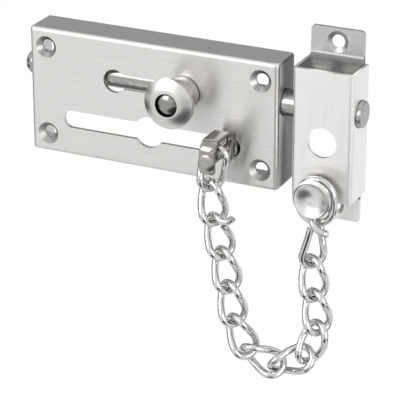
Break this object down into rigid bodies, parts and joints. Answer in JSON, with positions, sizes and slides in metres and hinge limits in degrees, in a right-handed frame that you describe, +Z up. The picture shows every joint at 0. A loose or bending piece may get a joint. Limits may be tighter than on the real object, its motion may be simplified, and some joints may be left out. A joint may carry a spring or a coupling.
{
  "type": "door chain",
  "caption": "Satin steel door chain: slotted cover plate with sliding bolt and knob, keeper with stud, and a twisted link chain.",
  "frame": {"origin": "centre of the cover plate's outline, on the plane of the door face", "axes": "+X along the plate towards the keeper, +Y into the door, +Z up"},
  "size_m": [0.139, 0.0341, 0.1349],
  "materials": {
    "plate_steel": "satin, brushed along its length",
    "keeper_steel": "satin, brushed up and down",
    "turned_steel": "satin, turned",
    "bright_steel": "polished"
  },
  "bodies": {
    "fixed": {"cover_plate": "plate_steel", "keeper_cover": "keeper_steel", "keeper_foot_top": "keeper_steel", "keeper_foot_bottom": "keeper_steel", "chain_stud": "turned_steel"},
    "bolt": {"bolt_rod": "turned_steel", "knob": "turned_steel"},
    "push_button": {"button": "turned_steel"},
    "anchor": {"anchor_pin": "turned_steel", "anchor_clevis": "bright_steel"},
    "ring": {"end_ring": "bright_steel"},
    "link_01": {"chain_link_01": "bright_steel"},
    "link_02": {"chain_link_02": "bright_steel"},
    "link_03": {"chain_link_03": "bright_steel"},
    "link_04": {"chain_link_04": "bright_steel"},
    "link_05": {"chain_link_05": "bright_steel"},
    "link_06": {"chain_link_06": "bright_steel"},
    "link_07": {"chain_link_07": "bright_steel"},
    "link_08": {"chain_link_08": "bright_steel"},
    "link_09": {"chain_link_09": "bright_steel"},
    "link_10": {"chain_link_10": "bright_steel"},
    "link_11": {"chain_link_11": "bright_steel"},
    "link_12": {"chain_link_12": "bright_steel"}
  },
  "joints": [
    {"name": "bolt_slide", "type": "slide", "parent": "fixed", "child": "bolt", "axis": [-1, 0, 0], "range_m": [0, 0.029]},
    {"name": "button_press", "type": "slide", "parent": "bolt", "child": "push_button", "axis": [0, 1, 0], "range_m": [0, 0.002], "stiffness_N_per_m": 800, "springref_m": -0.001},
    {"name": "anchor_slide", "type": "slide", "parent": "fixed", "child": "anchor", "axis": [-1, 0, 0], "range_m": [-0.001, 0.065]},
    {"name": "ring_swing", "type": "hinge", "parent": "fixed", "child": "ring", "pos_m": [0.069, -0.0184, -0.0215], "axis": [0, 1, 0], "range_deg": [-0.71, 26.95]},
    {"name": "ring_swivel", "type": "hinge", "parent": "ring", "child": "link_01", "pos_m": [0.069, -0.0184, -0.0309], "axis": [0.0889, 0.0185, 0.9959], "range_deg": [-8.08, 0.42]},
    {"name": "link_02_bend", "type": "hinge", "parent": "link_01", "child": "link_02", "pos_m": [0.06825, -0.01856, -0.04815], "axis": [-0.2036, 0.979, 0], "range_deg": [-0.35, 3.85]},
    {"name": "link_03_bend", "type": "hinge", "parent": "link_02", "child": "link_03", "pos_m": [0.06926, -0.01835, -0.06193], "axis": [-0.2036, 0.979, 0], "range_deg": [-2.45, 0.33]},
    {"name": "link_04_bend", "type": "hinge", "parent": "link_03", "child": "link_04", "pos_m": [0.0703, -0.01813, -0.07542], "axis": [-0.2036, 0.979, 0], "range_deg": [-2.61, 0.34]},
    {"name": "link_05_bend", "type": "hinge", "parent": "link_04", "child": "link_05", "pos_m": [0.0661, -0.019, -0.08724], "axis": [-0.2036, 0.979, 0], "range_deg": [-4.83, 0.37]},
    {"name": "link_06_bend", "type": "hinge", "parent": "link_05", "child": "link_06", "pos_m": [0.05564, -0.02118, -0.09225], "axis": [-0.2036, 0.979, 0], "range_deg": [-12.54, 0.49]},
    {"name": "anchor_swing", "type": "hinge", "parent": "anchor", "child": "link_12", "pos_m": [0.0315, -0.0262, -0.0102], "axis": [-0.1675, 0.9711, 0.17], "range_deg": [-49.5, 1.06]},
    {"name": "link_11_bend", "type": "hinge", "parent": "link_12", "child": "link_11", "pos_m": [0.03043, -0.02642, -0.02126], "axis": [-0.2036, 0.979, 0], "range_deg": [-0.55, 16.36]},
    {"name": "link_10_bend", "type": "hinge", "parent": "link_11", "child": "link_10", "pos_m": [0.03187, -0.02612, -0.0349], "axis": [-0.2036, 0.979, 0], "range_deg": [-0.41, 7.57]},
    {"name": "link_09_bend", "type": "hinge", "parent": "link_10", "child": "link_09", "pos_m": [0.03473, -0.02553, -0.04841], "axis": [-0.2036, 0.979, 0], "range_deg": [-2.8, 0.34]},
    {"name": "link_08_bend", "type": "hinge", "parent": "link_09", "child": "link_08", "pos_m": [0.03718, -0.02502, -0.06203], "axis": [-0.2036, 0.979, 0], "range_deg": [-0.35, 3.62]},
    {"name": "link_07_bend", "type": "hinge", "parent": "link_08", "child": "link_07", "pos_m": [0.03969, -0.0245, -0.07556], "axis": [-0.2036, 0.979, 0], "range_deg": [-0.6, 19.68]}
  ],
  "couplings": [
    {"joint": "ring_swing", "follows": "anchor_slide", "rad_per_m": 7.1559},
    {"joint": "ring_swivel", "follows": "anchor_slide", "rad_per_m": -2.089},
    {"joint": "link_02_bend", "follows": "anchor_slide", "rad_per_m": 0.95322},
    {"joint": "link_03_bend", "follows": "anchor_slide", "rad_per_m": -0.5773},
    {"joint": "link_04_bend", "follows": "anchor_slide", "rad_per_m": -0.62026},
    {"joint": "link_05_bend", "follows": "anchor_slide", "rad_per_m": -1.2164},
    {"joint": "link_06_bend", "follows": "anchor_slide", "rad_per_m": -3.2866},
    {"joint": "anchor_swing", "follows": "anchor_slide", "rad_per_m": -13.211},
    {"joint": "link_11_bend", "follows": "anchor_slide", "rad_per_m": 4.3123},
    {"joint": "link_10_bend", "follows": "anchor_slide", "rad_per_m": 1.9521},
    {"joint": "link_09_bend", "follows": "anchor_slide", "rad_per_m": -0.67128},
    {"joint": "link_08_bend", "follows": "anchor_slide", "rad_per_m": 0.89146},
    {"joint": "link_07_bend", "follows": "anchor_slide", "rad_per_m": 5.2038}
  ]
}
